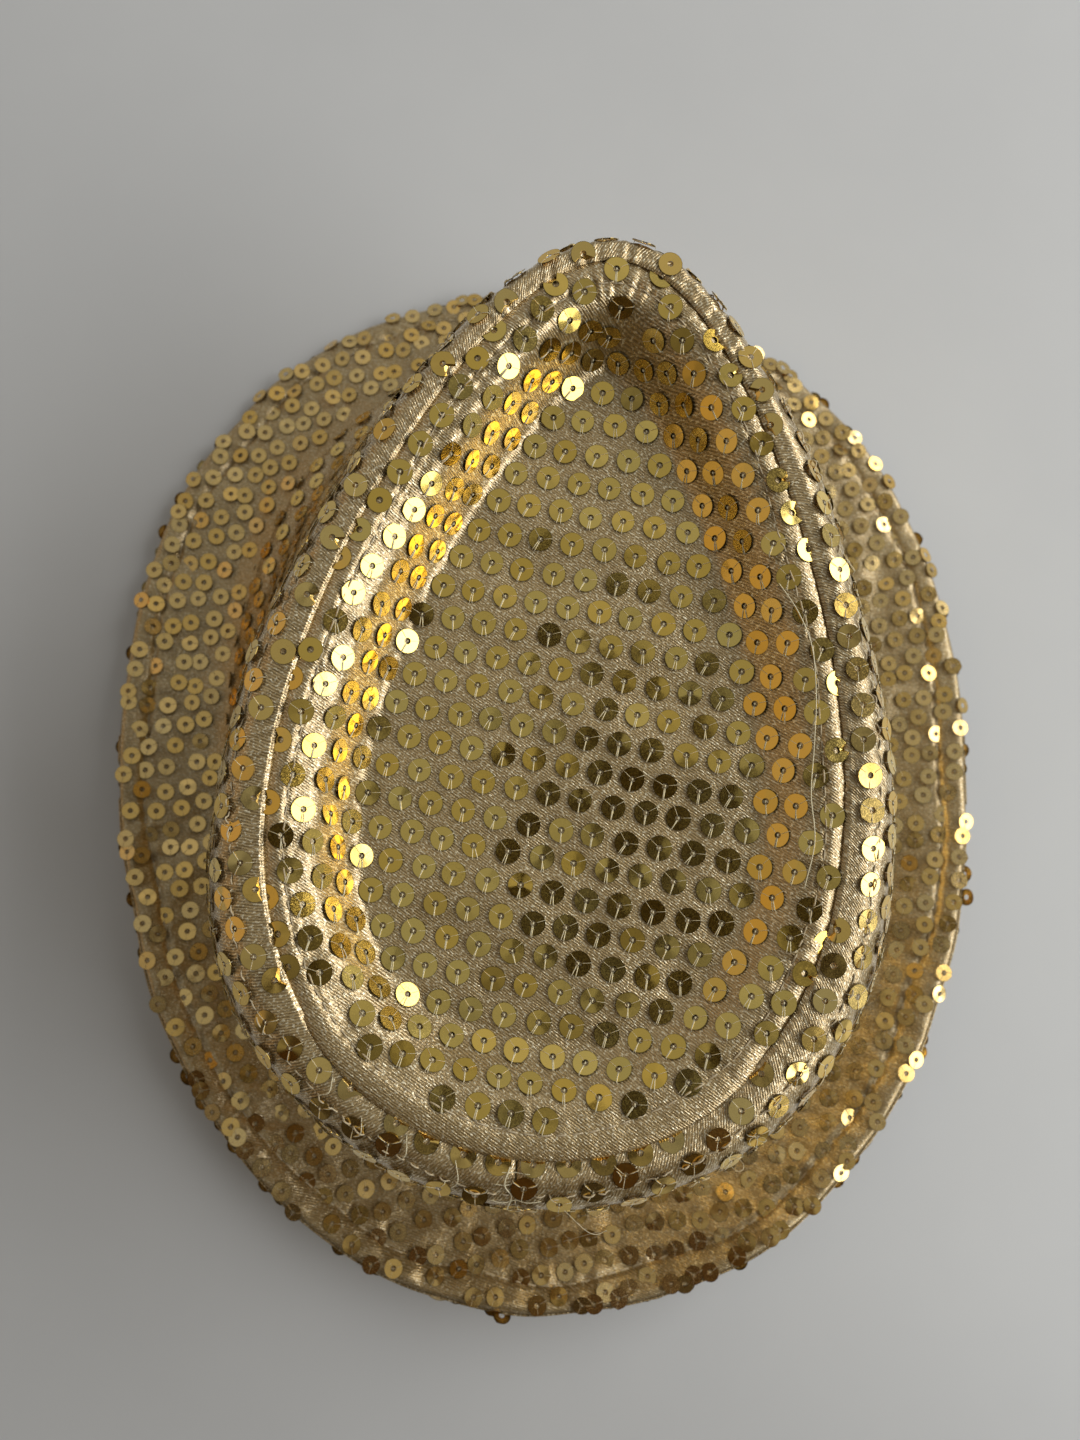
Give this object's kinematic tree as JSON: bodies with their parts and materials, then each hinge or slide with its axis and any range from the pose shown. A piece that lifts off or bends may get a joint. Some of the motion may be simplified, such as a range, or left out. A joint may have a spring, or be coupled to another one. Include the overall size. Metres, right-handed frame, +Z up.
{
  "type": "sequinned trilby party hat",
  "caption": "Short-brimmed party hat with a dented teardrop crown, sewn from sequinned satin over a stiffened brim, with a lining and a sweatband.",
  "frame": {"origin": "middle of the brim's outline on the plane the hat rests on", "axes": "+Z up, +Y towards the front of the hat (the narrow end of the crown), +X towards the wearer's right"},
  "size_m": [0.235, 0.2796, 0.1072],
  "materials": {
    "satin": "champagne polyester satin with a fine diagonal twill and a soft sheen",
    "sequin": "mirror-bright gold metallised film discs",
    "interlining": "matt non-woven backing",
    "stiffener": "matt foam board",
    "lining": "thin plain-weave polyester, slight sheen",
    "tape": "ribbed cotton tape",
    "thread": "twisted polyester sewing thread"
  },
  "bodies": {
    "root": {"tip_panel": "satin", "tip_interlining": "interlining", "tip_lining": "lining", "tip_sequins": "sequin", "side_panel": "satin", "side_interlining": "interlining", "side_lining": "lining", "side_sequins": "sequin", "sweatband": "tape", "brim_stiffener": "stiffener", "brim_top_panel": "satin", "brim_under_panel": "satin", "brim_top_sequins": "sequin", "brim_under_sequins": "sequin", "ridge_inner_stitch": "thread", "ridge_outer_stitch": "thread", "brim_edge_stitch_top": "thread", "brim_edge_stitch_under": "thread", "back_seam_stitch": "thread", "sweatband_stitch": "thread"}
  },
  "joints": []
}
